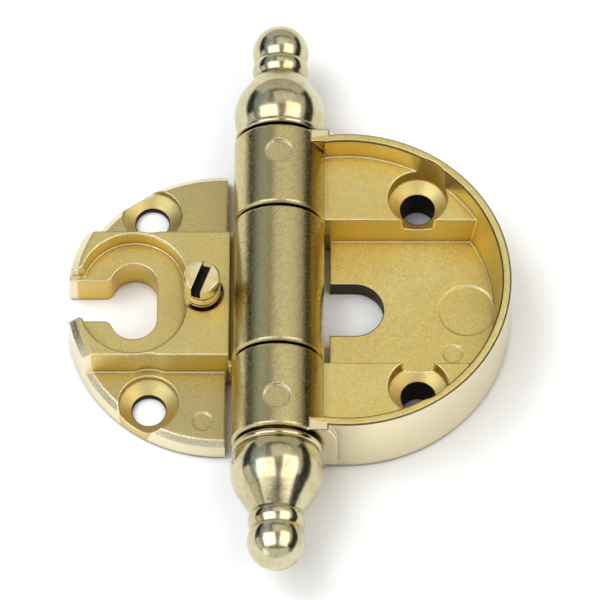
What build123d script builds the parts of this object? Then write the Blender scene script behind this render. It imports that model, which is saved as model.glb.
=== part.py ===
from build123d import *
from math import cos, radians, sin, sqrt, tan
import os

# Furniture hinge of two half-round wings on one barrel, open and flat on its back.
# Millimetres: x runs across the hinge from the pin, y along the pin, z up from the backs.

# Barrel and pin
BARREL_RADIUS = 4.85
BARREL_OVERHANG = 0.5
MIDDLE_KNUCKLE_LENGTH = 16.2
KNUCKLE_GAP = 0.3
KNUCKLE_CHAMFER = 0.25
PIN_RADIUS = 1.75
RUNNING_CLEARANCE = 0.05
SEAT_CLEARANCE = 0.02

# Cup wing, let into a 35 mm boring
CUP_RADIUS = 17.5
CUP_CENTRE = 7.2
CUP_HEIGHT = 9.7
RIM_WIDTH = 0.95
RIM_CHAMFER = 0.15
BACK_CHAMFER = 0.3
UPPER_WALL_DRAFT = 3.0
CHANNEL_WALL_DRAFT = 8.0
FLOOR_THICKNESS = 2.25
PLATFORM_RISE = 4.4
CHANNEL_CLEARANCE = 1.2
CHANNEL_DRAFT = 3.0
LUG_RADIUS = 6.3
CUP_SCREW_MARGIN = 3.85
CUP_SEAT_DEPTH = 1.8

# Plate wing, screwed flat and hooked over a screw head
PLATE_RADIUS = 16.6
PLATE_CENTRE = 6.1
BASE_THICKNESS = 2.5
BASE_CHAMFER = 0.6
BASE_DRAFT = 8.0
RAISED_HEIGHT = 6.15
RAISED_WIDTH = 14.8
RAISED_DRAFT = 3.0
LIP_CHAMFER = 0.9
LIP_DRAFT = 2.0
BAND_NOTCH_RADIUS = 4.05
PLATE_SCREW_MARGIN = 2.95
PLATE_SEAT_DEPTH = 0.9
GROOVE_DEPTH = 1.3

# Hook slot in the plate wing
HOOK_X = 15.45
HOOK_WIDTH = 5.0
HOOK_LENGTH = 9.1
HOOK_MOUTH = 4.8
LIP_MOUTH = 6.0
JAW_ROUND = 0.9
RECESS_WIDTH = 11.1
RECESS_LENGTH = 14.1
RECESS_DEPTH = 2.0
SOFT_EDGE = 0.2

# Countersunk screw holes, each a margin inside its wing's round edge and at a bearing from the
# wing's middle line
SCREW_BEARING = 56.0
SCREW_HOLE_RADIUS = 1.8
SCREW_HEAD_RADIUS = 3.2
SCREW_CONE_HEIGHT = 0.95

# Straight edges of the wings, each its own distance from the barrel
CUP_EDGE_OVERLAP = 0.05
FLOOR_EDGE_GAP = 0.6
BASE_EDGE_GAP = 0.75
RAISED_EDGE_GAP = 0.35
CLOSED_GAP = 0.3

# Adjusting screw; the cup's floor is notched where its head comes when the hinge closes
ADJUSTER_X = 8.1
ADJUSTER_RADIUS = 1.95
ADJUSTER_RISE = 3.7
ADJUSTER_LOWER_GROOVE_RISE = 0.5
ADJUSTER_UPPER_GROOVE_RISE = 1.8
ADJUSTER_GROOVE_WIDTH = 0.3
ADJUSTER_GROOVE_RADIUS = 1.65
ADJUSTER_SHANK_RADIUS = 1.4
ADJUSTER_SLOT_WIDTH = 1.0
ADJUSTER_SLOT_DEPTH = 1.3
ADJUSTER_SLOT_TURN = 70.0
ADJUSTER_CHAMFER = 0.2
ADJUSTER_TAIL = 0.6
POCKET_DEPTH = 1.2
POCKET_CLEARANCE = 0.3
NOTCH_CLEARANCE = 1.15

# Finials, turned vases that close both ends of the barrel
FINIAL_SHADOW_GAP = 0.35
FINIAL_SEAT_RADIUS = 3.7
RING_RADIUS = 4.75
RING_LENGTH = 0.75
RING_BULGE = 0.25
BULB_RADIUS = 4.9
BULB_CREST = 2.2
SHOULDER_RISE = 4.85
BULB_LENGTH = 7.0
NECK_RADIUS = 2.7
COLLAR_RADIUS = 3.0
COLLAR_LENGTH = 1.9
BEAD_RADIUS = 3.05
BEAD_CREST = 1.35
FINIAL_BORE_DEPTH = 7.5

# Shallow round marks that the casting die leaves
MARK_DEPTH = 0.12
KNUCKLE_MARK_Y = 14.65
KNUCKLE_MARK_RADIUS = 1.4
KNUCKLE_MARK_DEPTH = 0.3
CUP_MARK_X = 20.1
CUP_MARK_RADIUS = 3.0
SMALL_MARK_RADIUS = 1.05
CUP_SMALL_MARK_X = 18.55
CUP_SMALL_MARK_Y = -5.2
PLATE_MARK_X = 8.0
PLATE_MARK_Y = -13.45

# Length added to a cutter so that it passes right through a face
THROUGH = 1.0

BARREL_LENGTH = 2 * (CUP_RADIUS + BARREL_OVERHANG)
BARREL_HALF = BARREL_LENGTH / 2
MIDDLE_HALF = MIDDLE_KNUCKLE_LENGTH / 2
OUTER_START = MIDDLE_HALF + KNUCKLE_GAP
PIN_HEIGHT = (BASE_THICKNESS + CUP_HEIGHT + CLOSED_GAP) / 2
BARREL_BOTTOM = PIN_HEIGHT - BARREL_RADIUS
BARREL_TOP = PIN_HEIGHT + BARREL_RADIUS
PLATFORM_HEIGHT = FLOOR_THICKNESS + PLATFORM_RISE
RECESS_FLOOR = RAISED_HEIGHT - RECESS_DEPTH
POCKET_FLOOR = RAISED_HEIGHT - POCKET_DEPTH
MOUTH_RADIUS = CUP_RADIUS - RIM_WIDTH
CHANNEL_HALF = RAISED_WIDTH / 2 + CHANNEL_CLEARANCE
CUP_EDGE = BARREL_RADIUS - CUP_EDGE_OVERLAP
FLOOR_EDGE = BARREL_RADIUS + FLOOR_EDGE_GAP
BASE_EDGE = BARREL_RADIUS + BASE_EDGE_GAP
RAISED_EDGE = BARREL_RADIUS + RAISED_EDGE_GAP
ENDS = (-1, 1)
ON_FLOOR = (Align.CENTER, Align.CENTER, Align.MIN)


def slab(x, y, z):
    """Block between two limits along each axis."""
    sizes = [high - low for low, high in (x, y, z)]
    middles = [(high + low) / 2 for low, high in (x, y, z)]
    return Pos(*middles) * Box(*sizes)


def upright(radius, low, high, x=0, y=0):
    """Vertical round bar."""
    return Pos(x, y, low) * Cylinder(radius, high - low, align=ON_FLOOR)


def along_pin(radius, start, end):
    """Round bar about the pin's axis."""
    return Pos(0, start, PIN_HEIGHT) * Rot(-90, 0, 0) * Cylinder(radius, end - start, align=ON_FLOOR)


def turned(outline, x=0):
    """Body turned about a vertical axis from points of radius and height."""
    return Pos(x, 0, 0) * revolve(Plane.XZ * make_face(Polyline(*outline, close=True)), Axis.Z)


def ridge(bottom_half, top_half, low, high, x):
    """Bar along x whose two long sides lean, from its half widths at the bottom and the top."""
    section = Polyline(
        (-bottom_half, low), (bottom_half, low), (top_half, high), (-top_half, high), close=True
    )
    return Pos(x[0], 0, 0) * extrude(Plane.YZ * make_face(section), x[1] - x[0])


def sunk(outline, floor, top):
    """Cutter for an upright pocket whose mouth has a soft edge."""
    body = extrude(Pos(0, 0, floor) * outline, top - floor + THROUGH)
    mouth = extrude(Pos(0, 0, top - SOFT_EDGE) * outline, SOFT_EDGE + THROUGH, taper=-45)
    return body + mouth


def knuckle(start, end):
    """Length of barrel with softened ends."""
    bar = along_pin(BARREL_RADIUS, start, end)
    return chamfer(bar.edges().filter_by(GeomType.CIRCLE), KNUCKLE_CHAMFER)


def screw_place(centre, reach):
    """Place of a screw hole along and off a wing's middle line, from the wing's centre."""
    bearing = radians(SCREW_BEARING)
    return centre + reach * cos(bearing), reach * sin(bearing)


def screw_hole(x, y, seat):
    """Cutter for a countersunk hole: room for the head above its cone, then the shank's hole."""
    cone = Cone(SCREW_HOLE_RADIUS, SCREW_HEAD_RADIUS, SCREW_CONE_HEIGHT, align=ON_FLOOR)
    head_room = upright(SCREW_HEAD_RADIUS, seat, CUP_HEIGHT + THROUGH)
    shank = upright(SCREW_HOLE_RADIUS, -THROUGH, seat)
    return Pos(x, y, 0) * (head_room + Pos(0, 0, seat - SCREW_CONE_HEIGHT) * cone + shank)


def cup_hollow(floor):
    """Inside of the cup above a given floor; the wall leans more beside the channel."""
    lip = MOUTH_RADIUS + RIM_CHAMFER
    below_rim = CUP_HEIGHT - RIM_CHAMFER
    upper_foot = MOUTH_RADIUS - (below_rim - PLATFORM_HEIGHT) * tan(radians(UPPER_WALL_DRAFT))
    foot = upper_foot - (PLATFORM_HEIGHT - floor) * tan(radians(CHANNEL_WALL_DRAFT))
    outline = [
        (0, floor),
        (foot, floor),
        (MOUTH_RADIUS, below_rim),
        (lip, CUP_HEIGHT),
        (lip, CUP_HEIGHT + THROUGH),
        (0, CUP_HEIGHT + THROUGH),
    ]
    if floor < PLATFORM_HEIGHT:
        outline.insert(2, (upper_foot, PLATFORM_HEIGHT))
    return turned(outline, CUP_CENTRE)


def cup_body():
    """Half-round cup with a channel between two platforms, cut straight beside the barrel."""
    outline = [
        (0, 0),
        (CUP_RADIUS - BACK_CHAMFER, 0),
        (CUP_RADIUS, BACK_CHAMFER),
        (CUP_RADIUS, CUP_HEIGHT - RIM_CHAMFER),
        (CUP_RADIUS - RIM_CHAMFER, CUP_HEIGHT),
        (0, CUP_HEIGHT),
    ]
    reach = CUP_CENTRE + CUP_RADIUS + THROUGH
    lean = tan(radians(CHANNEL_DRAFT))
    top = CUP_HEIGHT + THROUGH
    channel = ridge(
        CHANNEL_HALF - PLATFORM_RISE * lean,
        CHANNEL_HALF + (top - PLATFORM_HEIGHT) * lean,
        FLOOR_THICKNESS,
        top,
        (0, reach),
    )
    width = (-CUP_RADIUS - THROUGH, CUP_RADIUS + THROUGH)
    half = turned(outline, CUP_CENTRE) & slab((CUP_EDGE, reach), width, (-THROUGH, top))
    half -= cup_hollow(PLATFORM_HEIGHT)
    half -= cup_hollow(FLOOR_THICKNESS) & channel
    return half - slab((0, FLOOR_EDGE), (-CHANNEL_HALF, CHANNEL_HALF), (-THROUGH, top))


def outer_knuckle(end):
    """Outer knuckle with the web and the round-backed lug that tie it to the cup."""
    near, far = sorted((end * OUTER_START, end * BARREL_HALF))
    web = slab((0, CUP_EDGE), (near, far), (BARREL_BOTTOM, PLATFORM_HEIGHT))
    inside, outside = sorted((end * MOUTH_RADIUS, end * BARREL_HALF))
    lug = along_pin(LUG_RADIUS, inside, outside)
    lug += slab((0, LUG_RADIUS), (inside, outside), (BARREL_BOTTOM, PIN_HEIGHT))
    lug &= slab((0, LUG_RADIUS), (inside, outside), (BARREL_BOTTOM, CUP_HEIGHT))
    return knuckle(near, far) + (web + lug)


def make_cup_wing():
    """Casting with the cup and the two outer knuckles."""
    wing = cup_body()
    for end in ENDS:
        wing += outer_knuckle(end)
    screw_x, screw_y = screw_place(CUP_CENTRE, CUP_RADIUS - CUP_SCREW_MARGIN)
    for end in ENDS:
        wing -= screw_hole(screw_x, end * screw_y, PLATFORM_HEIGHT - CUP_SEAT_DEPTH)
        wing -= upright(
            KNUCKLE_MARK_RADIUS,
            BARREL_TOP - KNUCKLE_MARK_DEPTH,
            BARREL_TOP + THROUGH,
            y=end * KNUCKLE_MARK_Y,
        )
    notch_radius = ADJUSTER_RADIUS + NOTCH_CLEARANCE
    notch_height = (-THROUGH, FLOOR_THICKNESS + THROUGH)
    wing -= upright(notch_radius, *notch_height, x=ADJUSTER_X)
    wing -= slab((0, ADJUSTER_X), (-notch_radius, notch_radius), notch_height)
    mark = (FLOOR_THICKNESS - MARK_DEPTH, FLOOR_THICKNESS + THROUGH)
    wing -= upright(CUP_MARK_RADIUS, *mark, x=CUP_MARK_X)
    wing -= upright(SMALL_MARK_RADIUS, *mark, x=CUP_SMALL_MARK_X, y=CUP_SMALL_MARK_Y)
    return wing - along_pin(PIN_RADIUS + SEAT_CLEARANCE, -BARREL_HALF - THROUGH, BARREL_HALF + THROUGH)


def plate_disc(height, edge, chamfer_size, draft):
    """Half disc with a leaning, chamfered edge, cut straight beside the barrel."""
    lean = tan(radians(draft))
    outline = [
        (0, 0),
        (PLATE_RADIUS - BACK_CHAMFER, 0),
        (PLATE_RADIUS, BACK_CHAMFER),
        (PLATE_RADIUS - (height - chamfer_size) * lean, height - chamfer_size),
        (PLATE_RADIUS - height * lean - chamfer_size, height),
        (0, height),
    ]
    reach = PLATE_RADIUS + THROUGH
    half = slab((-PLATE_CENTRE - reach, -edge), (-reach, reach), (-THROUGH, height + THROUGH))
    return turned(outline, -PLATE_CENTRE) & half


def plate_body():
    """Thin half disc with a raised band across its middle, and the web to the middle knuckle."""
    base = plate_disc(BASE_THICKNESS, BASE_EDGE, BASE_CHAMFER, BASE_DRAFT)
    foot_half = RAISED_WIDTH / 2 + RAISED_HEIGHT * tan(radians(RAISED_DRAFT))
    reach = (-PLATE_CENTRE - PLATE_RADIUS - THROUGH, 0)
    band = ridge(foot_half, RAISED_WIDTH / 2, 0, RAISED_HEIGHT, reach)
    raised = plate_disc(RAISED_HEIGHT, RAISED_EDGE, LIP_CHAMFER, LIP_DRAFT) & band
    raised &= slab(reach, (-MIDDLE_HALF, MIDDLE_HALF), (0, RAISED_HEIGHT)) + slab(
        (reach[0], -BASE_EDGE), (-foot_half, foot_half), (0, RAISED_HEIGHT)
    )
    web_top = RAISED_HEIGHT - GROOVE_DEPTH
    web = slab((-RAISED_EDGE, 0), (-MIDDLE_HALF, MIDDLE_HALF), (BARREL_BOTTOM, web_top))
    return base + raised + web + knuckle(-MIDDLE_HALF, MIDDLE_HALF)


def hook_outline():
    """Oblong hole with a narrower mouth out to the wing's edge and rounded jaws."""
    oblong = Pos(-HOOK_X, 0) * Rot(0, 0, 90) * SlotOverall(HOOK_LENGTH, HOOK_WIDTH)
    reach = PLATE_CENTRE + PLATE_RADIUS + THROUGH - HOOK_X
    mouth = Pos(-HOOK_X - reach / 2, 0) * Rectangle(reach, HOOK_MOUTH)
    outline = Sketch() + (oblong + mouth).faces()
    jaws = outline.vertices().filter_by_position(
        Axis.X, -HOOK_X - HOOK_WIDTH, -HOOK_X - HOOK_WIDTH / 4
    )
    return fillet(jaws.sort_by(lambda corner: abs(abs(corner.Y) - HOOK_MOUTH / 2))[:2], JAW_ROUND)


def make_plate_wing():
    """Casting with the flat wing and the middle knuckle."""
    wing = plate_body()
    recess = Pos(-HOOK_X, 0) * Rot(0, 0, 90) * SlotOverall(RECESS_LENGTH, RECESS_WIDTH)
    wing -= sunk(recess, RECESS_FLOOR, RAISED_HEIGHT)
    outer_edge = -PLATE_CENTRE - PLATE_RADIUS - THROUGH
    lip_mouth = (-LIP_MOUTH / 2, LIP_MOUTH / 2)
    wing -= slab((outer_edge, -HOOK_X), lip_mouth, (RECESS_FLOOR, RAISED_HEIGHT + THROUGH))
    wing -= extrude(Pos(0, 0, -THROUGH) * hook_outline(), RAISED_HEIGHT + 2 * THROUGH)
    screw_x, screw_y = screw_place(PLATE_CENTRE, PLATE_RADIUS - PLATE_SCREW_MARGIN)
    notch_height = (BASE_THICKNESS, RAISED_HEIGHT + THROUGH)
    for end in ENDS:
        wing -= screw_hole(-screw_x, end * screw_y, BASE_THICKNESS - PLATE_SEAT_DEPTH)
        wing -= upright(BAND_NOTCH_RADIUS, *notch_height, x=-screw_x, y=end * screw_y)
    pocket_radius = ADJUSTER_RADIUS + POCKET_CLEARANCE
    wing -= upright(pocket_radius, POCKET_FLOOR, RAISED_HEIGHT + THROUGH, x=-ADJUSTER_X)
    shank_hole = ADJUSTER_SHANK_RADIUS + RUNNING_CLEARANCE
    wing -= upright(shank_hole, -THROUGH, RAISED_HEIGHT, x=-ADJUSTER_X)
    mark = (BASE_THICKNESS - MARK_DEPTH, BASE_THICKNESS + THROUGH)
    wing -= upright(SMALL_MARK_RADIUS, *mark, x=-PLATE_MARK_X, y=PLATE_MARK_Y)
    bore = PIN_RADIUS + RUNNING_CLEARANCE
    return wing - along_pin(bore, -MIDDLE_HALF - THROUGH, MIDDLE_HALF + THROUGH)


def make_adjusting_screw():
    """Slotted screw with a tall head, grooved twice, on a plain shank."""
    bottom = POCKET_FLOOR + RUNNING_CLEARANCE
    top = RAISED_HEIGHT + ADJUSTER_RISE
    reach = ADJUSTER_RADIUS + THROUGH
    head = upright(ADJUSTER_RADIUS, bottom, top)
    head = chamfer(head.edges().group_by(Axis.Z)[-1], ADJUSTER_CHAMFER)
    for rise in (ADJUSTER_LOWER_GROOVE_RISE, ADJUSTER_UPPER_GROOVE_RISE):
        height = (RAISED_HEIGHT + rise, RAISED_HEIGHT + rise + ADJUSTER_GROOVE_WIDTH)
        head -= upright(reach, *height) - upright(ADJUSTER_GROOVE_RADIUS, *height)
    slot = slab(
        (-reach, reach),
        (-ADJUSTER_SLOT_WIDTH / 2, ADJUSTER_SLOT_WIDTH / 2),
        (top - ADJUSTER_SLOT_DEPTH, top + THROUGH),
    )
    shank = upright(ADJUSTER_SHANK_RADIUS, ADJUSTER_TAIL, bottom)
    return Pos(-ADJUSTER_X, 0, 0) * (head - Rot(0, 0, ADJUSTER_SLOT_TURN) * slot + shank)


def make_hinge_pin():
    """Plain pin through all three knuckles into both finials."""
    half = BARREL_HALF + FINIAL_BORE_DEPTH - RUNNING_CLEARANCE
    return along_pin(PIN_RADIUS, -half, half)


def ball_radius(radius, off):
    """Radius of a ball's section at a distance off its centre."""
    return sqrt(radius**2 - off**2)


def finial_outline():
    """Half section of a finial, radius against distance from the end of the barrel."""
    ring = FINIAL_SHADOW_GAP
    waist = ring + RING_LENGTH
    crest = waist + BULB_CREST
    neck = waist + BULB_LENGTH
    collar_end = neck + COLLAR_LENGTH
    bead_crest = collar_end + BEAD_CREST
    tip = bead_crest + BEAD_RADIUS
    ring_start = (RING_RADIUS - RING_BULGE, ring)
    waist_point = (ball_radius(BULB_RADIUS, BULB_CREST), waist)
    shoulder = (ball_radius(BULB_RADIUS, SHOULDER_RISE - BULB_CREST), waist + SHOULDER_RISE)
    neck_point = (NECK_RADIUS, neck)
    bead_root = (ball_radius(BEAD_RADIUS, BEAD_CREST), collar_end)
    bore = PIN_RADIUS + SEAT_CLEARANCE
    curve = Polyline(
        (0, tip),
        (0, FINIAL_BORE_DEPTH),
        (bore, FINIAL_BORE_DEPTH),
        (bore, 0),
        (FINIAL_SEAT_RADIUS, 0),
        (FINIAL_SEAT_RADIUS, ring),
        ring_start,
    )
    curve += ThreePointArc(ring_start, (RING_RADIUS, (ring + waist) / 2), waist_point)
    curve += ThreePointArc(waist_point, (BULB_RADIUS, crest), shoulder)
    curve += Line(shoulder, neck_point)
    curve += ThreePointArc(neck_point, (COLLAR_RADIUS, neck + COLLAR_LENGTH / 2), bead_root)
    curve += ThreePointArc(bead_root, (BEAD_RADIUS, bead_crest), (0, tip))
    return make_face(curve)


def make_finial(end):
    """Turned finial seated on one end of the barrel."""
    vase = Pos(0, BARREL_HALF, 0) * revolve(finial_outline(), Axis.Y)
    return Pos(0, 0, PIN_HEIGHT) * Rot(0, 0, 90 - 90 * end) * vase


PARTS = {
    "cup_wing": make_cup_wing(),
    "plate_wing": make_plate_wing(),
    "hinge_pin": make_hinge_pin(),
    "upper_finial": make_finial(1),
    "lower_finial": make_finial(-1),
    "adjusting_screw": make_adjusting_screw(),
}

# The origin is the centre of the cup's boring, on the back of the hinge.
os.makedirs("parts", exist_ok=True)
for name, solid in PARTS.items():
    export_step(Pos(-CUP_CENTRE, 0, 0) * solid, f"parts/{name}.step")
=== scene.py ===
# %% [markdown]
# # A brass furniture hinge, from bare solids to a studio picture
# Two half-round cast wings swing on one barrel, and a turned finial closes each end of it. The
# solids of all six pieces come ready made in a shared frame: metres, with the origin under the
# cup, x across the hinge, y along the barrel and z up. Loading them first means that every light,
# camera and finish below can be placed by the real sizes.

# %% Load the solids
import math
from types import SimpleNamespace

import bpy
from mathutils import Matrix, Vector


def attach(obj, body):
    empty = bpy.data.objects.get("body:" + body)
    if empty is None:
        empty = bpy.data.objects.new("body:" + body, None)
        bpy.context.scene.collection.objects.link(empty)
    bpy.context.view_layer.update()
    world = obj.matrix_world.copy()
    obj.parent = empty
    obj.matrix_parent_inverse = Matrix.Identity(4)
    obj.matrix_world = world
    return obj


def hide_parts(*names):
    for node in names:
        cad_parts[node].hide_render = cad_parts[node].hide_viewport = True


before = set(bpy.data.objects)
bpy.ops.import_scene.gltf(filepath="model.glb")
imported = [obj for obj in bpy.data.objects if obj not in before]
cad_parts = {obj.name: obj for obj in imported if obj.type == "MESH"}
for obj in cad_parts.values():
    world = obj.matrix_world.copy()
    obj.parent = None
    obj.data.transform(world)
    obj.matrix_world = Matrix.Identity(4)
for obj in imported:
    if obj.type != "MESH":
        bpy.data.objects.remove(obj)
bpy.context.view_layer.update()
MM = 0.001
print("pieces:", sorted(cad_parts))

# %% [markdown]
# ## Camera
# A small product is pictured from some way off through a long lens, so that its far end looks as
# large as its near end. The camera stands in front of the hinge and looks down steeply. Its three
# axes are worked out from a tilt, a turn and a roll, because a matrix made from them needs no
# guessing about the order of turns.

# %% Place the camera
IMAGE_SIDE = 600
SENSOR_WIDTH = 36.0
PIXELS_PER_MM = 9.4118
CAMERA_DISTANCE = 638.0 * MM
CAMERA_TARGET = Vector((-4.907, -0.894, 6.25)) * MM
TILT, TURN, ROLL = (math.radians(angle) for angle in (27.894, 1.036, -0.789))

camera_back = Vector((
    math.sin(TURN) * math.sin(TILT),
    -math.cos(TURN) * math.sin(TILT),
    math.cos(TILT),
))
level = Vector((math.cos(TURN), math.sin(TURN), 0))
upward = camera_back.cross(level)
camera_right = level * math.cos(ROLL) + upward * math.sin(ROLL)
camera_up = upward * math.cos(ROLL) - level * math.sin(ROLL)

camera = bpy.data.objects.new("camera", bpy.data.cameras.new("camera"))
bpy.context.scene.collection.objects.link(camera)
camera.data.sensor_width = SENSOR_WIDTH
camera.data.lens = PIXELS_PER_MM / MM * CAMERA_DISTANCE / IMAGE_SIDE * SENSOR_WIDTH
camera.matrix_world = (
    Matrix.Translation(CAMERA_TARGET + camera_back * CAMERA_DISTANCE)
    @ Matrix((camera_right, camera_up, camera_back)).transposed().to_4x4()
)
bpy.context.scene.camera = camera
print("lens in mm:", round(camera.data.lens, 1))

# %% [markdown]
# ## Node helpers
# Finishes and turned pieces are both trees of nodes, and a tree written out by hand is mostly
# wiring. Helpers take that over: one adds a node and fills its sockets with values or wires, and
# one does the same for a sum. With them a tree reads like a short list of steps.

# %% Write the node helpers


def find(sockets, key):
    """Socket by identifier, name or place; identifiers tell apart sockets that share a name."""
    known = {socket.identifier: socket for socket in sockets}
    return known[key] if key in known else sockets[key]


def put(tree, kind, sockets=None, **settings):
    """Add a node, choose its settings, and give each named socket a value or a wire."""
    made = tree.nodes.new(kind)
    for name, value in settings.items():
        setattr(made, name, value)
    for key, value in (sockets or {}).items():
        if isinstance(value, bpy.types.NodeSocket):
            tree.links.new(value, find(made.inputs, key))
        else:
            find(made.inputs, key).default_value = value
    return made


def calc(tree, operation, *terms):
    """Add a math node on values or wires and return its result."""
    return put(tree, "ShaderNodeMath", dict(enumerate(terms)), operation=operation).outputs[0]


print("helpers ready")

# %% [markdown]
# ## Paper
# The hinge lies on white paper. It gets a faint mottle of fibres so that it isn't dead flat. Where
# metal stands close around it, as under a screw hole, hardly any light comes in. Soft lamps alone
# leave such nooks too bright, so the ambient occlusion node finds them and darkens the paper there.

# %% Mix the paper's finish
PAPER_GREY = (0.86, 0.86, 0.85, 1.0)
PAPER_WHITE = (0.90, 0.90, 0.90, 1.0)
PAPER_ROUGHNESS, PAPER_GLOSS = 0.85, 0.15
FIBRES_PER_METRE, FIBRE_DETAIL = 220.0, 3.0
NOOK_DARK = (0.06, 0.055, 0.05, 1.0)
NOOK_REACH, NOOK_SAMPLES = 2.2 * MM, 8
NOOK_SHUT, NOOK_OPEN = 0.15, 0.50

paper = bpy.data.materials.new("white_paper")
paper.use_nodes = True
tree = paper.node_tree
shader = tree.nodes["Principled BSDF"]
shader.inputs["Roughness"].default_value = PAPER_ROUGHNESS
shader.inputs["Specular IOR Level"].default_value = PAPER_GLOSS
spot = put(tree, "ShaderNodeTexCoord").outputs["Object"]
fibre = put(
    tree, "ShaderNodeTexNoise",
    {"Vector": spot, "Scale": FIBRES_PER_METRE, "Detail": FIBRE_DETAIL},
)
fibrous = put(
    tree, "ShaderNodeMix",
    {"Factor_Float": fibre.outputs["Fac"], "A_Color": PAPER_GREY, "B_Color": PAPER_WHITE},
    data_type="RGBA",
)
open_sky = put(
    tree, "ShaderNodeAmbientOcclusion", {"Distance": NOOK_REACH}, samples=NOOK_SAMPLES
).outputs["AO"]
unshaded = put(
    tree, "ShaderNodeMapRange",
    {"Value": open_sky, "From Min": NOOK_SHUT, "From Max": NOOK_OPEN},
).outputs["Result"]
shaded = put(
    tree, "ShaderNodeMix",
    {
        "Factor_Float": unshaded,
        "A_Color": NOOK_DARK,
        "B_Color": find(fibrous.outputs, "Result_Color"),
    },
    data_type="RGBA",
)
tree.links.new(find(shaded.outputs, "Result_Color"), shader.inputs["Base Color"])
print(paper.name, "has", len(tree.nodes), "nodes")

# %% [markdown]
# ## Floor
# One large square is enough for the sheet: it runs out of the picture on every side. It lies a hair
# below the hinge, so that the two never share a face.

# %% Lay the paper
FLOOR_REACH = 3.0
FLOOR_DROP = 0.05 * MM

sheet = bpy.data.meshes.new("paper")
sides = (-FLOOR_REACH, FLOOR_REACH)
sheet.from_pydata([(x, y, -FLOOR_DROP) for x in sides for y in sides], [], [(0, 2, 3, 1)])
sheet.materials.append(paper)
floor = bpy.data.objects.new("paper", sheet)
bpy.context.scene.collection.objects.link(floor)
print("paper corners:", len(sheet.vertices), "normal:", tuple(sheet.polygons[0].normal))

# %% [markdown]
# ## Lamps
# Polished metal shows the room more than itself, so the light is designed as what the hinge
# mirrors. Two large soft boxes hang left and right over the hinge and draw a pair of pale bands
# along the barrel and the finials. Dimmer boxes farther out widen the bands, cooler on the left and
# warmer on the right. Low cards behind, in front and at the left light the walls and bevels that
# the boxes miss. One helper hangs them all, so each lamp is a row in a list.

# %% Hang the lamps
AIM = Vector((-4.0, 0.0, 5.0)) * MM
WARM, NEUTRAL = (1.0, 0.97, 0.90), (1.0, 1.0, 1.0)
COOL, BLUISH = (0.88, 0.94, 1.0), (0.66, 0.83, 1.0)


def hang(name, place, size, brightness, colour):
    """Soft box that faces the hinge, by its sizes across and along it and how bright it looks."""
    lamp = bpy.data.objects.new(name, bpy.data.lights.new(name, "AREA"))
    lamp.data.shape = "RECTANGLE"
    lamp.data.size, lamp.data.size_y = size
    lamp.data.energy = brightness * math.pi * size[0] * size[1]
    lamp.data.color = colour
    place = Vector(place)
    outward = (place - AIM).normalized()
    along = (Vector((0, 1, 0)) - outward * outward.y).normalized()
    turn = Matrix((along.cross(outward), along, outward)).transposed().to_4x4()
    lamp.matrix_world = Matrix.Translation(place) @ turn
    bpy.context.scene.collection.objects.link(lamp)
    return lamp


lamps = [
    hang("left_box", (-0.28, -0.15, 0.52), (0.52, 0.56), 2.05, COOL),
    hang("right_box", (0.32, -0.12, 0.50), (0.42, 0.66), 1.72, WARM),
    hang("back_card", (0.09, 0.32, 0.56), (0.50, 0.40), 0.62, WARM),
    hang("low_back_card", (0.0, 0.60, 0.21), (1.00, 0.38), 0.62, WARM),
    hang("far_left_box", (-0.46, 0.08, 0.43), (0.40, 1.00), 0.42, BLUISH),
    hang("far_right_box", (0.45, 0.12, 0.39), (0.32, 0.70), 0.60, WARM),
    hang("left_card", (-0.55, -0.30, 0.13), (0.24, 0.84), 0.80, NEUTRAL),
    hang("front_card", (0.0, -0.60, 0.20), (1.40, 0.40), 0.80, NEUTRAL),
]
print("lamps:", [lamp.name for lamp in lamps])

# %% [markdown]
# ## Background and room
# In a studio the background gets a lamp of its own. Light linking does that here: the paper lamp
# lights nothing but the paper, and the hinge still throws its soft shadow there. The room is a dim
# ceiling that fades out towards the horizon, so that the pale bands on the metal have dark edges.

# %% Light the paper and dim the room
ROOM_TINT = (0.93, 0.96, 1.0, 1.0)
HORIZON, CEILING = 0.40, 0.95
HORIZON_GLOW, CEILING_GLOW = 0.02, 0.36

paper_lamp = hang("paper_lamp", (-0.40, 0.20, 0.75), (0.40, 0.40), 5.80, NEUTRAL)
lit = bpy.data.collections.new("lit_by_paper_lamp")
lit.objects.link(floor)
paper_lamp.light_linking.receiver_collection = lit

room = bpy.data.worlds.new("dim_room")
room.use_nodes = True
tree = room.node_tree
aim = put(tree, "ShaderNodeTexCoord").outputs["Generated"]
height = put(tree, "ShaderNodeSeparateXYZ", {"Vector": aim}).outputs["Z"]
glow = put(
    tree, "ShaderNodeMapRange",
    {
        "Value": height,
        "From Min": HORIZON, "From Max": CEILING,
        "To Min": HORIZON_GLOW, "To Max": CEILING_GLOW,
    },
    interpolation_type="SMOOTHSTEP",
)
backdrop = tree.nodes["Background"]
backdrop.inputs["Color"].default_value = ROOM_TINT
tree.links.new(glow.outputs["Result"], backdrop.inputs["Strength"])
bpy.context.scene.world = room
bpy.context.scene.view_settings.view_transform = "Standard"

# %% [markdown]
# ## Places on a piece
# A finish has to know where on a piece it is, because a knuckle is buffed and a flat face isn't.
# Object coordinates tell that, and they stay with the piece when it swings. In millimetres they
# can be compared with the sizes of the real hinge.

# %% Write the helpers for places
PIN_X, PIN_Z = -7.2, 6.25


def millimetres(tree):
    """Place on the piece, in millimetres of the shared frame."""
    spot = put(tree, "ShaderNodeTexCoord").outputs["Object"]
    sockets = {"Vector": spot, "Scale": 1 / MM}
    return put(tree, "ShaderNodeVectorMath", sockets, operation="SCALE").outputs["Vector"]


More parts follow.
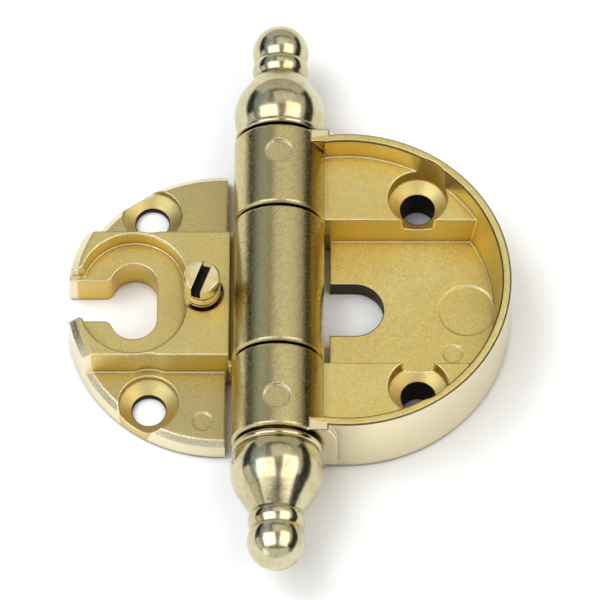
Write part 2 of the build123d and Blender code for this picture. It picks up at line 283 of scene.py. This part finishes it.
def distance(tree, place, centre, across):
    """Distance from an axis through a centre; across is 1 on the two sides that count."""
    off = put(tree, "ShaderNodeVectorMath", {0: place, 1: centre}, operation="SUBTRACT").outputs[0]
    flat = put(tree, "ShaderNodeVectorMath", {0: off, 1: across}, operation="MULTIPLY").outputs[0]
    return put(tree, "ShaderNodeVectorMath", {0: flat}, operation="LENGTH").outputs["Value"]


print("the pin runs along y at x", PIN_X, "and z", PIN_Z, "mm")

# %% [markdown]
# ## Masks and blends
# Plated metal is never one even colour. Each finish below starts from one colour and blends others
# in by masks, which run from 0 to 1, and noise breaks the masks up. The helpers keep each blend to
# one line.

# %% Write the helpers for masks and blends


def ramp(tree, value, start, end, low=0.0, high=1.0):
    """Smooth step from low to high as a value goes from start to end."""
    sockets = {"Value": value, "From Min": start, "From Max": end, "To Min": low, "To Max": high}
    return put(
        tree, "ShaderNodeMapRange", sockets, interpolation_type="SMOOTHSTEP"
    ).outputs["Result"]


def noise(tree, place, per_mm, detail=2.0, roughness=0.5):
    """Cloudy value around a half, by how many of its clouds fit into a millimetre."""
    sockets = {"Vector": place, "Scale": per_mm, "Detail": detail, "Roughness": roughness}
    return put(tree, "ShaderNodeTexNoise", sockets).outputs["Fac"]


def times(tree, first, second):
    """Product of two masks, or of a mask and a number."""
    return calc(tree, "MULTIPLY", first, second)


def blend_colour(tree, amount, first, second):
    """Mix of two colours, each a wire or a tuple."""
    ends = [(*end, 1.0) if isinstance(end, tuple) else end for end in (first, second)]
    sockets = {"Factor_Float": amount, "A_Color": ends[0], "B_Color": ends[1]}
    return find(put(tree, "ShaderNodeMix", sockets, data_type="RGBA").outputs, "Result_Color")


def blend_value(tree, amount, first, second):
    """Mix of two numbers, each a wire or a value."""
    sockets = {"Factor_Float": amount, "A_Float": first, "B_Float": second}
    return find(put(tree, "ShaderNodeMix", sockets).outputs, "Result_Float")


print("blends ready")

# %% [markdown]
# ## Edges, corners and relief
# Handling rubs edges bright, and those edges also get a painted highlight; corners get painted
# shade. Neither needs a change to the mesh. The bevel node rounds the normal near an edge, so where
# it departs from the true normal there is an edge, and the ambient occlusion node tells how shut in
# a point is. Grain and scratches are too fine to model and come from a bump.

# %% Write the helpers for the surface
SURFACE_SAMPLES = 6
FLAT_LIKENESS, EDGE_LIKENESS = 0.995, 0.90
OPEN_SKY, CORNER_SKY = 0.9, 0.25


def soft_edge(tree, width):
    """Rounded normal near edges, and a mask that is 1 along them."""
    rounded = put(
        tree, "ShaderNodeBevel", {"Radius": width * MM}, samples=SURFACE_SAMPLES
    ).outputs["Normal"]
    true = put(tree, "ShaderNodeNewGeometry").outputs["Normal"]
    alike = put(tree, "ShaderNodeVectorMath", {0: rounded, 1: true}, operation="DOT_PRODUCT")
    return rounded, ramp(tree, alike.outputs["Value"], FLAT_LIKENESS, EDGE_LIKENESS)


def corner(tree, reach):
    """Mask that is 1 down in corners and 0 in the open."""
    sky = put(
        tree, "ShaderNodeAmbientOcclusion", {"Distance": reach * MM}, samples=SURFACE_SAMPLES
    ).outputs["AO"]
    return ramp(tree, sky, OPEN_SKY, CORNER_SKY)


def new_finish(name):
    """Empty metal finish, and its tree and shader."""
    finish = bpy.data.materials.new(name)
    finish.use_nodes = True
    shader = finish.node_tree.nodes["Principled BSDF"]
    shader.inputs["Metallic"].default_value = 1.0
    return finish, finish.node_tree, shader


def emboss(tree, shader, height, strength, depth, **normal):
    """Bump of a depth in millimetres, on the true normal or on one that is given."""
    sockets = {"Strength": strength, "Distance": depth * MM, "Height": height, **normal}
    bump = put(tree, "ShaderNodeBump", sockets)
    tree.links.new(bump.outputs["Normal"], shader.inputs["Normal"])


def dress(node, finish):
    """Give a piece one finish all over."""
    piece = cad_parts[node]
    piece.data.materials.clear()
    piece.data.materials.append(finish)
    print(node, "wears", finish.name, "with", len(finish.node_tree.nodes), "nodes")


print("surface helpers ready")

# %% [markdown]
# ## Cast wings: their parts
# Both wings are die castings with a thin pale brass plating. Their flat faces keep the grain of the
# casting, the barrel and the round outer edges were buffed before plating, and the screw holes are
# countersunk. A material for each face would mean sorting faces by hand. One finish can hold them
# all if masks tell the parts apart. Distances do that: from the pin for the barrel, from the wing's
# own centre for its round edge, and from a screw or the floor's notch for the holes.

# %% Find the parts of a wing
BARREL_RADIUS = 4.85
RIM_HEIGHT = 9.7
SCREW_HOLE_RADIUS, SCREW_HEAD_RADIUS = 1.8, 3.2
NOTCH_SHADE_SHARE = 0.95


def wing_parts(tree, place, wing):
    """Masks that are 1 on one part each; a few hundredths keep their soft borders off the edges."""
    sides = put(tree, "ShaderNodeSeparateXYZ", {"Vector": place}).outputs
    across, along, height = sides["X"], sides["Y"], sides["Z"]
    folded = put(
        tree, "ShaderNodeCombineXYZ",
        {"X": across, "Y": calc(tree, "ABSOLUTE", along), "Z": height},
    ).outputs[0]
    past_notch_end = calc(tree, "MAXIMUM", calc(tree, "SUBTRACT", across, wing["notch_end"]), 0.0)
    in_notch = put(tree, "ShaderNodeCombineXYZ", {"X": past_notch_end, "Y": along}).outputs[0]
    from_pin = distance(tree, place, (PIN_X, 0, PIN_Z), (1, 0, 1))
    from_centre = distance(tree, place, (wing["centre_x"], 0, 0), (1, 1, 0))
    from_screw = distance(tree, folded, (*wing["screw"], 0), (1, 1, 0))
    from_notch = distance(tree, in_notch, (0, 0, 0), (1, 1, 0))

    barrel = ramp(tree, from_pin, BARREL_RADIUS + 0.1, BARREL_RADIUS + 0.03)
    off_barrel = calc(tree, "SUBTRACT", 1.0, barrel)
    round_edge = ramp(tree, from_centre, wing["buffed_from"], wing["buffed_from"] + 0.08)
    off_screw = ramp(tree, from_screw, SCREW_HEAD_RADIUS + 0.05, SCREW_HEAD_RADIUS + 0.15)
    under_head = ramp(tree, from_screw, SCREW_HEAD_RADIUS - 0.02, SCREW_HEAD_RADIUS - 0.08)
    below_seat = ramp(tree, height, wing["seat_height"] + 0.05, wing["seat_height"])
    hole = ramp(tree, from_screw, SCREW_HOLE_RADIUS + 0.12, SCREW_HOLE_RADIUS + 0.04)
    notch_edge = wing["notch_radius"]
    notch = ramp(tree, from_notch, notch_edge + 0.10, notch_edge + 0.02, high=NOTCH_SHADE_SHARE)
    top = ramp(tree, height, RIM_HEIGHT - 0.25, RIM_HEIGHT - 0.15)
    dull_top = wing["dull_below"]
    return SimpleNamespace(
        barrel=barrel,
        off_barrel=off_barrel,
        outside=times(tree, round_edge, off_screw),
        cone=times(tree, under_head, below_seat),
        cut=calc(tree, "MAXIMUM", hole, notch),
        rim=times(tree, top, off_barrel),
        low=ramp(tree, height, dull_top + 0.3, dull_top, low=wing["dull_above"]),
    )


print("barrel radius:", BARREL_RADIUS, "mm, screw holes:", 2 * SCREW_HOLE_RADIUS, "mm wide")

# %% [markdown]
# ## Cast wings: their grain
# Die casting leaves a fine grain and a soft mottle under the plating, and buffing left slanted
# scratches on the barrel. Noise at several sizes gives all of it, and a Mapping node draws one
# noise out into scratches. Walls, slopes, edges and corners are told by how the surface faces.

# %% Find the grain and the edges of a wing
EDGE_WIDTH, POCKET_REACH, CREVICE_REACH = 0.28, 6.0, 1.2
SCRATCH_TURN = -0.7
SCRATCH_SIZE = (0.11, 0.6, 0.4)


def wing_facing(tree):
    """Masks by the way the surface faces, and a normal that is rounded along the edges."""
    normal = put(tree, "ShaderNodeTexCoord").outputs["Normal"]
    upward = put(tree, "ShaderNodeSeparateXYZ", {"Vector": normal}).outputs["Z"]
    rounded, edge = soft_edge(tree, EDGE_WIDTH)
    return SimpleNamespace(
        wall=ramp(tree, upward, 0.7, 0.3),
        slope=ramp(tree, upward, 0.95, 0.85),
        rounded=rounded,
        edge=edge,
        pocket=corner(tree, POCKET_REACH),
        crevice=corner(tree, CREVICE_REACH),
    )


def wing_texture(tree, place):
    """Noises from large clouds down to fine grain, and the scratches of buffing."""
    slanted = put(
        tree, "ShaderNodeMapping",
        {"Vector": place, "Rotation": (0, 0, SCRATCH_TURN), "Scale": SCRATCH_SIZE},
        vector_type="TEXTURE",
    ).outputs["Vector"]
    return SimpleNamespace(
        cloud=noise(tree, place, 0.16, detail=3.0),
        mottle=noise(tree, place, 2.0, detail=4.0, roughness=0.65),
        grain=noise(tree, place, 5.0, detail=3.0, roughness=0.65),
        speck=noise(tree, place, 6.0, roughness=0.6),
        scratch=noise(tree, slanted, 1.0, detail=3.0, roughness=0.6),
    )


print("scratches slant by", round(math.degrees(SCRATCH_TURN)), "degrees")

# %% [markdown]
# ## Cast wings: their colour
# Grainy faces look tan and buffed ones pale. The walls of a pocket mirror each other, and that
# reflection is painted in as a deeper gold. Edges are rubbed bright and carry a painted highlight,
# but the rim of the cup gets a painted dark reflection line along its edges. Corners get painted
# shade, and the walls of holes and of the notch are painted nearly black as shade. The colours are
# laid one over the other, as plating, polish and wear came over the real casting, with the painted
# light on top, so the code reads as one layer after another and a layer can be taken out to see
# what it does.

# %% Lay the colours of a wing
CAST_TAN = (0.75, 0.60, 0.21)
CAST_DEEP = (0.71, 0.53, 0.14)
CAST_DULL = (0.45, 0.36, 0.15)
CAST_SPECK = (0.93, 0.82, 0.46)
POCKET_REFLECTION_GOLD = (0.80, 0.52, 0.05)
CONE_PALE = (0.69, 0.55, 0.22)
BUFFED_PALE = (0.80, 0.71, 0.48)
BARREL_SATIN = (0.60, 0.50, 0.23)
BARREL_WORN = (0.43, 0.36, 0.18)
CORNER_SHADE = (0.20, 0.11, 0.02)
RUBBED_AND_HIGHLIGHT_BRIGHT = (0.95, 0.89, 0.68)
RIM_DARK_REFLECTION = (0.09, 0.07, 0.04)
HOLE_SHADE = (0.025, 0.02, 0.015)
MOTTLE_SHARE, SPECK_SHARE, CONE_SHARE = 0.35, 0.42, 0.7
CORNER_SHADE_SHARE, RUBBED_AND_HIGHLIGHT_SHARE, RIM_REFLECTION_SHARE = 0.75, 0.6, 0.9
REFLECTION_FLOOR_SHARE, REFLECTION_WALL_SHARE = 0.15, 0.9


def wing_colour(tree, part, facing, texture):
    """Colour of the plating, layer over layer."""
    cast = blend_colour(tree, ramp(tree, texture.cloud, 0.35, 0.65), CAST_TAN, CAST_DEEP)
    dulled = times(tree, part.low, ramp(tree, texture.cloud, 0.2, 0.8, 1.0, 0.7))
    cast = blend_colour(tree, dulled, cast, CAST_DULL)
    mottled = ramp(tree, texture.mottle, 0.40, 0.70, high=MOTTLE_SHARE)
    cast = blend_colour(tree, mottled, cast, CAST_DULL)
    specked = ramp(tree, texture.speck, 0.35, 0.75, high=SPECK_SHARE)
    cast = blend_colour(tree, specked, cast, CAST_SPECK)
    # Painted reflection: pocket walls mirror each other, so they get a deeper gold, strongest on
    # the walls.
    painted_reflection = blend_value(tree, facing.wall, REFLECTION_FLOOR_SHARE, REFLECTION_WALL_SHARE)
    cast = blend_colour(tree, times(tree, facing.pocket, painted_reflection), cast, POCKET_REFLECTION_GOLD)
    cast = blend_colour(tree, times(tree, part.cone, CONE_SHARE), cast, CONE_PALE)

    colour = blend_colour(tree, part.outside, cast, BUFFED_PALE)
    worn = ramp(tree, texture.scratch, 0.3, 0.75)
    satin = blend_colour(tree, worn, BARREL_SATIN, BARREL_WORN)
    colour = blend_colour(tree, part.barrel, colour, satin)
    # Painted shade: corners found by ambient occlusion are darkened.
    colour = blend_colour(tree, times(tree, facing.crevice, CORNER_SHADE_SHARE), colour, CORNER_SHADE)
    # Edges get one bright colour that is both rubbed wear and a painted highlight.
    rubbed_and_highlight = times(tree, facing.edge, RUBBED_AND_HIGHLIGHT_SHARE)
    # Painted reflection: the rim's chamfered edges get a dark line, as if they mirrored dark
    # surroundings.
    rim_reflection_line = times(tree, facing.slope, RIM_REFLECTION_SHARE)
    line_colour = blend_colour(tree, part.rim, RUBBED_AND_HIGHLIGHT_BRIGHT, RIM_DARK_REFLECTION)
    colour = blend_colour(tree, blend_value(tree, part.rim, rubbed_and_highlight, rim_reflection_line), colour, line_colour)
    # Painted shade: the walls of screw holes and of the notch are painted nearly black.
    return blend_colour(tree, times(tree, part.cut, part.off_barrel), colour, HOLE_SHADE)


print("colour layers ready")

# %% [markdown]
# ## Cast wings: their gloss
# Gloss tells a casting from a turned piece more than colour does. The grainy faces scatter the
# light, the buffed parts mirror it softly, and rubbed edges are the smoothest. The same masks
# choose the roughness and the relief, so colour and gloss change in the same places.

# %% Finish both wings
CAST_ROUGH, BUFFED_ROUGH, SATIN_ROUGH = (0.30, 0.44), (0.18, 0.28), (0.17, 0.29)
CUT_ROUGH, EDGE_ROUGH = 0.6, 0.14
BUFFED_GRAIN, BARREL_SCRATCH = 0.3, 0.45
CAST_RELIEF, CAST_RELIEF_DEPTH = 0.75, 0.06


def cast_finish(name, wing):
    """Plating over a casting: grainy faces, buffed barrel and rim, rubbed edges with a painted
    highlight, holes with painted shade.
    """
    finish, tree, shader = new_finish(name)
    place = millimetres(tree)
    part = wing_parts(tree, place, wing)
    facing = wing_facing(tree)
    texture = wing_texture(tree, place)
    tree.links.new(wing_colour(tree, part, facing, texture), shader.inputs["Base Color"])

    cast_rough = ramp(tree, texture.speck, 0.3, 0.7, *CAST_ROUGH)
    buffed_rough = ramp(tree, texture.speck, 0.3, 0.7, *BUFFED_ROUGH)
    satin_rough = ramp(tree, texture.scratch, 0.3, 0.7, *SATIN_ROUGH)
    rough = blend_value(tree, part.outside, cast_rough, buffed_rough)
    rough = blend_value(tree, part.barrel, rough, satin_rough)
    rough = blend_value(tree, part.cut, rough, CUT_ROUGH)
    tree.links.new(blend_value(tree, facing.edge, rough, EDGE_ROUGH), shader.inputs["Roughness"])

    buffed_grain = times(tree, texture.grain, BUFFED_GRAIN)
    relief = blend_value(tree, part.outside, texture.grain, buffed_grain)
    relief = blend_value(tree, part.barrel, relief, times(tree, texture.scratch, BARREL_SCRATCH))
    emboss(tree, shader, relief, CAST_RELIEF, CAST_RELIEF_DEPTH, Normal=facing.rounded)
    return finish


# In millimetres. Below dull_below a face is dull, and above it by the share in dull_above. The cup
# has no dull base and the plate no notch, and a value below zero switches them off.
CUP_SIZES = {
    "centre_x": 0.0, "buffed_from": 17.3,
    "screw": (7.633, 11.316), "seat_height": 4.85,
    "notch_end": 0.9, "notch_radius": 3.1,
    "dull_below": -1.0, "dull_above": 0.0,
}
PLATE_SIZES = {
    "centre_x": -13.3, "buffed_from": 15.6,
    "screw": (-20.933, 11.316), "seat_height": 1.6,
    "notch_end": 0.0, "notch_radius": -1.0,
    "dull_below": 2.6, "dull_above": 0.35,
}
dress("cup_wing", cast_finish("cast_cup_brass", CUP_SIZES))
dress("plate_wing", cast_finish("cast_plate_brass", PLATE_SIZES))

# %% [markdown]
# ## Turned brass
# The finials are turned on a lathe and buffed, so they are the brightest pieces. Fine rings from
# the tool run round them, their grooves get painted shade, and the plating has begun to tarnish in
# spots. The rings are a wave along the barrel's axis that only touches the bump and the roughness,
# and a slow cloud in the bump makes the mirrored boxes waver as on buffed metal.

# %% Make the turned finish
TURNED_PALE = (0.62, 0.57, 0.38)
TURNED_WARM = (0.53, 0.46, 0.26)
TARNISH = (0.33, 0.26, 0.12)
TARNISH_SHARE = 0.6
TURNED_ROUGH = (0.12, 0.19)
RING_SHARE, WAVER_SHARE = 0.04, 2.0
TURNED_RELIEF, TURNED_RELIEF_DEPTH = 0.25, 0.06


def turned_finish(name):
    """Buffed plating with faint lathe rings, spots of tarnish and painted shade in the grooves."""
    finish, tree, shader = new_finish(name)
    place = millimetres(tree)
    crevice = corner(tree, CREVICE_REACH)
    cloud = noise(tree, place, 0.3, detail=3.0)
    stain = noise(tree, place, 1.4, detail=5.0, roughness=0.7)
    speck = noise(tree, place, 3.0)
    rings = put(
        tree, "ShaderNodeTexWave",
        {"Vector": place, "Scale": 2.6, "Distortion": 0.6, "Detail": 2.0},
        wave_type="BANDS", bands_direction="Y",
    ).outputs["Fac"]
    ridges = times(tree, rings, RING_SHARE)

    colour = blend_colour(tree, ramp(tree, cloud, 0.35, 0.7), TURNED_PALE, TURNED_WARM)
    tarnished = ramp(tree, stain, 0.45, 0.8, high=TARNISH_SHARE)
    colour = blend_colour(tree, tarnished, colour, TARNISH)
    # Painted shade: grooves found by ambient occlusion are darkened.
    colour = blend_colour(tree, times(tree, crevice, CORNER_SHADE_SHARE), colour, CORNER_SHADE)
    tree.links.new(colour, shader.inputs["Base Color"])
    rough = calc(tree, "ADD", ramp(tree, speck, 0.3, 0.7, *TURNED_ROUGH), ridges)
    tree.links.new(rough, shader.inputs["Roughness"])
    relief = calc(tree, "ADD", times(tree, cloud, WAVER_SHARE), ridges)
    emboss(tree, shader, relief, TURNED_RELIEF, TURNED_RELIEF_DEPTH)
    return finish


turned_brass = turned_finish("buffed_turned_brass")
print(turned_brass.name, "has", len(turned_brass.node_tree.nodes), "nodes")

# %% [markdown]
# ## Finials
# A lathe follows one rule: a flat outline swept round an axis. Geometry Nodes can follow the same
# rule, from a list of named sizes. A spin in mesh code would do as well, but here a size can be
# changed later and the whole vase follows. The tree starts with one input for each size.

# %% Name the finial's sizes
FINIAL_SIZES = {
    "Barrel Half Length": 18.0,
    "Bore Radius": 1.77,
    "Bore Depth": 7.5,
    "Seat Radius": 3.7,
    "Shadow Gap": 0.35,
    "Ring Radius": 4.75,
    "Ring Bulge": 0.25,
    "Ring Length": 0.75,
    "Bulb Radius": 4.9,
    "Bulb Crest": 2.2,
    "Bulb Length": 7.0,
    "Shoulder Rise": 4.85,
    "Neck Radius": 2.7,
    "Collar Radius": 3.0,
    "Collar Length": 1.9,
    "Bead Radius": 3.05,
    "Bead Crest": 1.35,
}

lathe = bpy.data.node_groups.new("finial_lathe", "GeometryNodeTree")
lathe.is_modifier = True
lathe.interface.new_socket("Geometry", in_out="OUTPUT", socket_type="NodeSocketGeometry")
size_sockets = {
    name: lathe.interface.new_socket(name, in_out="INPUT", socket_type="NodeSocketFloat")
    for name in FINIAL_SIZES
}
given = lathe.nodes.new("NodeGroupInput").outputs
print("sizes of a finial:", len(size_sockets))

# %% [markdown]
# ## The outline's runs
# The outline is made of straight runs and arcs, as on a turner's drawing. Each point is a distance
# out from the barrel's end and a radius. A bulb and a bead are parts of balls, so where they end
# their radius follows from the ball.

# %% Write the outline's helpers
ARC_STEPS = 20


def total(*lengths):
    """Sum of wires."""
    result = lengths[0]
    for length in lengths[1:]:
        result = calc(lathe, "ADD", result, length)
    return result


def point(along, radius):
    """Point of the outline: distance out from the barrel's end, and radius."""
    return put(lathe, "ShaderNodeCombineXYZ", {"X": radius, "Y": along}).outputs[0]


def ball_radius(radius, off):
    """Radius of a ball's section at a distance off its centre."""
    square = calc(lathe, "SUBTRACT", times(lathe, radius, radius), times(lathe, off, off))
    return calc(lathe, "SQRT", square)


def line(start, end):
    """Straight run of the outline."""
    sockets = {"Start": start, "End": end}
    return put(lathe, "GeometryNodeCurvePrimitiveLine", sockets).outputs["Curve"]


def arc(start, middle, end):
    """Round run of the outline through three points."""
    sockets = {"Resolution": ARC_STEPS, "Start": start, "Middle": middle, "End": end}
    return put(lathe, "GeometryNodeCurveArc", sockets, mode="POINTS").outputs["Curve"]


print("steps in an arc:", ARC_STEPS)

# %% [markdown]
# ## The outline
# From the bottom of its bore a finial goes out over its seat and a small ring, swells to a bulb,
# runs in to a neck with a collar, and ends in a bead. The heights of these are added up from the
# lengths first, so that a longer bulb pushes the collar and the bead outwards.

# %% Draw the outline
ring = given["Shadow Gap"]
waist = total(ring, given["Ring Length"])
bulb_crest = total(waist, given["Bulb Crest"])
shoulder = total(waist, given["Shoulder Rise"])
neck = total(waist, given["Bulb Length"])
collar_end = total(neck, given["Collar Length"])
bead_crest = total(collar_end, given["Bead Crest"])
ring_middle = total(ring, times(lathe, given["Ring Length"], 0.5))
collar_middle = total(neck, times(lathe, given["Collar Length"], 0.5))
shoulder_off = calc(lathe, "SUBTRACT", given["Shoulder Rise"], given["Bulb Crest"])

corners = [
    point(given["Bore Depth"], 0.0),
    point(given["Bore Depth"], given["Bore Radius"]),
    point(0.0, given["Bore Radius"]),
    point(0.0, given["Seat Radius"]),
    point(ring, given["Seat Radius"]),
    point(ring, calc(lathe, "SUBTRACT", given["Ring Radius"], given["Ring Bulge"])),
]
waist_point = point(waist, ball_radius(given["Bulb Radius"], given["Bulb Crest"]))
shoulder_point = point(shoulder, ball_radius(given["Bulb Radius"], shoulder_off))
neck_point = point(neck, given["Neck Radius"])
bead_root = point(collar_end, ball_radius(given["Bead Radius"], given["Bead Crest"]))
tip = point(total(bead_crest, given["Bead Radius"]), 0.0)
runs = [line(start, end) for start, end in zip(corners, corners[1:])]
runs += [
    arc(corners[-1], point(ring_middle, given["Ring Radius"]), waist_point),
    arc(waist_point, point(bulb_crest, given["Bulb Radius"]), shoulder_point),
    line(shoulder_point, neck_point),
    arc(neck_point, point(collar_middle, given["Collar Radius"]), bead_root),
    arc(bead_root, point(bead_crest, given["Bead Radius"]), tip),
]
outline = lathe.nodes.new("GeometryNodeJoinGeometry")
for run in runs:
    lathe.links.new(run, outline.inputs["Geometry"])
print("outline runs:", len(runs))

# %% [markdown]
# ## The sweep
# Curve to Mesh sweeps the outline round a tiny circle and leaves each run as its own band. Welding
# joins the bands and closes the tip, and edges that turn sharply are kept crisp, so that the ring
# and the collar catch the light as they do on the real finials.

# %% Sweep the outline
TURN_STEPS = 128
CENTRE_HOLE = 1e-6
WELD = 5e-6
SHARP_ANGLE = math.radians(25)

path = put(
    lathe, "GeometryNodeCurvePrimitiveCircle", {"Resolution": TURN_STEPS, "Radius": CENTRE_HOLE}
)
swept = put(
    lathe, "GeometryNodeCurveToMesh",
    {"Curve": path.outputs["Curve"], "Profile Curve": outline.outputs["Geometry"]},
)
welded = put(
    lathe, "GeometryNodeMergeByDistance", {"Geometry": swept.outputs["Mesh"], "Distance": WELD}
)
smooth = put(lathe, "GeometryNodeSetShadeSmooth", {"Geometry": welded.outputs["Geometry"]})
fold = put(lathe, "GeometryNodeInputMeshEdgeAngle").outputs["Unsigned Angle"]
sharp = put(lathe, "FunctionNodeCompare", {"A": fold, "B": SHARP_ANGLE}, operation="GREATER_THAN")
crisp = put(
    lathe, "GeometryNodeSetShadeSmooth",
    {
        "Geometry": smooth.outputs["Geometry"],
        "Selection": sharp.outputs["Result"],
        "Shade Smooth": False,
    },
    domain="EDGE",
)
print("steps round a finial:", TURN_STEPS)

# %% [markdown]
# ## Two copies
# Both finials are the same vase, so it is turned once. Two points on the barrel's ends carry one
# copy each, and each copy is tipped over to face outwards. Realize Instances makes them one mesh,
# because copies that are only instances would be lost when the hinge is exported.

# %% Set a finial on each end
pin = {"X": PIN_X * MM, "Z": PIN_Z * MM}
half = given["Barrel Half Length"]
first_end = put(lathe, "ShaderNodeCombineXYZ", {**pin, "Y": times(lathe, half, -1.0)})
step = put(lathe, "ShaderNodeCombineXYZ", {"Y": times(lathe, half, 2.0)})
ends = put(
    lathe, "GeometryNodeMeshLine",
    {"Count": 2, "Start Location": first_end.outputs[0], "Offset": step.outputs[0]},
)
index = put(lathe, "GeometryNodeInputIndex").outputs["Index"]
tip_over = calc(lathe, "MULTIPLY_ADD", index, math.pi, -math.pi / 2)
facing = put(lathe, "ShaderNodeCombineXYZ", {"X": tip_over}).outputs[0]
rotation = put(lathe, "FunctionNodeEulerToRotation", {"Euler": facing}).outputs["Rotation"]
placed = put(
    lathe, "GeometryNodeInstanceOnPoints",
    {
        "Points": ends.outputs["Mesh"],
        "Instance": crisp.outputs["Geometry"],
        "Rotation": rotation,
    },
)
real = put(lathe, "GeometryNodeRealizeInstances", {"Geometry": placed.outputs["Instances"]})
dressed = put(
    lathe, "GeometryNodeSetMaterial",
    {"Geometry": real.outputs["Geometry"], "Material": turned_brass},
)
put(lathe, "NodeGroupOutput", {"Geometry": dressed.outputs["Geometry"]})
print("lathe nodes:", len(lathe.nodes))

# %% [markdown]
# ## The turned mesh
# The tree runs once on an empty object, with its sizes in metres, and its result is kept as a plain
# mesh. The finials are fixed to the cup wing's knuckles, so they ride with the cup and stand for
# the two solids there.

# %% Turn both finials
blank = bpy.data.objects.new("finial_blank", bpy.data.meshes.new("finial_blank"))
bpy.context.scene.collection.objects.link(blank)
modifier = blank.modifiers.new("finial_lathe", "NODES")
modifier.node_group = lathe
for name, size in FINIAL_SIZES.items():
    modifier[size_sockets[name].identifier] = size * MM
evaluated = blank.evaluated_get(bpy.context.evaluated_depsgraph_get())
turned = bpy.data.meshes.new_from_object(evaluated)
bpy.data.objects.remove(blank)

finials = bpy.data.objects.new("finials", turned)
bpy.context.scene.collection.objects.link(finials)
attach(finials, "cup")
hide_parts("upper_finial", "lower_finial")
along_barrel = [vertex.co.y / MM for vertex in turned.vertices]
reach = [round(end, 2) for end in (min(along_barrel), max(along_barrel))]
print("finials:", len(turned.polygons), "faces, from y", reach)

# %% [markdown]
# ## Adjusting screw
# The slotted screw beside the barrel was turned and plated bright. It is rubbed by the screwdriver,
# so its top is scratched and its edges are rubbed bright, with a painted highlight there too. Its
# slot and grooves get painted shade. Stretched noise gives the scratches.
# A Mapping node turns the coordinates into line with the slot, so that one distance finds it.

# %% Make the screw's finish
SCREW_X = -15.3
SLOT_TURN = math.radians(70)
SLOT_HALF_WIDTH = 0.5
SLOT_FLOOR = 8.55
SCREW_EDGE_WIDTH, SCREW_CREVICE_REACH = 0.12, 0.8
SCREW_PALE = (0.82, 0.73, 0.44)
SCREW_WARM = (0.74, 0.58, 0.24)
SLOT_SHADE = (0.02, 0.016, 0.012)
SCREW_CORNER_SHADE_SHARE, SCREW_RUBBED_AND_HIGHLIGHT_SHARE = 0.8, 0.7
SCREW_ROUGH = (0.16, 0.30)
SCREW_RELIEF, SCREW_RELIEF_DEPTH = 0.12, 0.02
SCREW_SCRATCHES = (2.0, 26.0, 10.0)


def screw_finish(name):
    """Bright plating with fine scratches, rubbed edges with a painted highlight, and painted shade
    in the slot and grooves.
    """
    finish, tree, shader = new_finish(name)
    place = millimetres(tree)
    rounded, edge = soft_edge(tree, SCREW_EDGE_WIDTH)
    crevice = corner(tree, SCREW_CREVICE_REACH)
    cloud = noise(tree, place, 0.8)
    axis = (SCREW_X, 0, 0)
    centred = put(tree, "ShaderNodeVectorMath", {0: place, 1: axis}, operation="SUBTRACT")
    along_slot = put(
        tree, "ShaderNodeMapping",
        {"Vector": centred.outputs[0], "Rotation": (0, 0, -SLOT_TURN)},
    ).outputs["Vector"]
    sides = put(tree, "ShaderNodeSeparateXYZ", {"Vector": along_slot}).outputs
    from_slot = calc(tree, "ABSOLUTE", sides["Y"])
    in_slot = ramp(tree, from_slot, SLOT_HALF_WIDTH + 0.04, SLOT_HALF_WIDTH + 0.02)
    above_floor = ramp(tree, sides["Z"], SLOT_FLOOR - 0.05, SLOT_FLOOR - 0.02)
    drawn = put(tree, "ShaderNodeMapping", {"Vector": along_slot, "Scale": SCREW_SCRATCHES})
    scratch = noise(tree, drawn.outputs["Vector"], 1.0, detail=3.0, roughness=0.7)

    colour = blend_colour(tree, ramp(tree, cloud, 0.35, 0.65), SCREW_PALE, SCREW_WARM)
    # Painted shade: the screw's grooves, found by ambient occlusion, are darkened.
    colour = blend_colour(tree, times(tree, crevice, SCREW_CORNER_SHADE_SHARE), colour, CORNER_SHADE)
    # The screw's edges get one bright colour that is both rubbed wear and a painted highlight.
    colour = blend_colour(tree, times(tree, edge, SCREW_RUBBED_AND_HIGHLIGHT_SHARE), colour, RUBBED_AND_HIGHLIGHT_BRIGHT)
    # Painted shade: the slot's walls and floor are painted nearly black.
    colour = blend_colour(tree, times(tree, in_slot, above_floor), colour, SLOT_SHADE)
    tree.links.new(colour, shader.inputs["Base Color"])
    tree.links.new(ramp(tree, scratch, 0.3, 0.7, *SCREW_ROUGH), shader.inputs["Roughness"])
    emboss(tree, shader, scratch, SCREW_RELIEF, SCREW_RELIEF_DEPTH, Normal=rounded)
    return finish


dress("adjusting_screw", screw_finish("bright_screw_brass"))

# %% [markdown]
# ## Hinge pin
# The pin is drawn steel and shows only as a dark glint between the knuckles. Drawing leaves fine
# lines along it, so its noise is stretched along the pin.

# %% Make the pin's finish
STEEL_LIGHT = (0.58, 0.58, 0.57)
STEEL_DARK = (0.36, 0.36, 0.37)
STEEL_ROUGH = (0.25, 0.4)
STEEL_RELIEF, STEEL_RELIEF_DEPTH = 0.15, 0.02
DRAWN_LINES = (9.0, 0.25, 9.0)

drawn_steel, tree, shader = new_finish("drawn_steel")
lengthwise = put(tree, "ShaderNodeMapping", {"Vector": millimetres(tree), "Scale": DRAWN_LINES})
streak = noise(tree, lengthwise.outputs["Vector"], 1.0, detail=3.0)
tree.links.new(blend_colour(tree, streak, STEEL_DARK, STEEL_LIGHT), shader.inputs["Base Color"])
tree.links.new(ramp(tree, streak, 0.3, 0.7, *STEEL_ROUGH), shader.inputs["Roughness"])
emboss(tree, shader, streak, STEEL_RELIEF, STEEL_RELIEF_DEPTH)
dress("hinge_pin", drawn_steel)
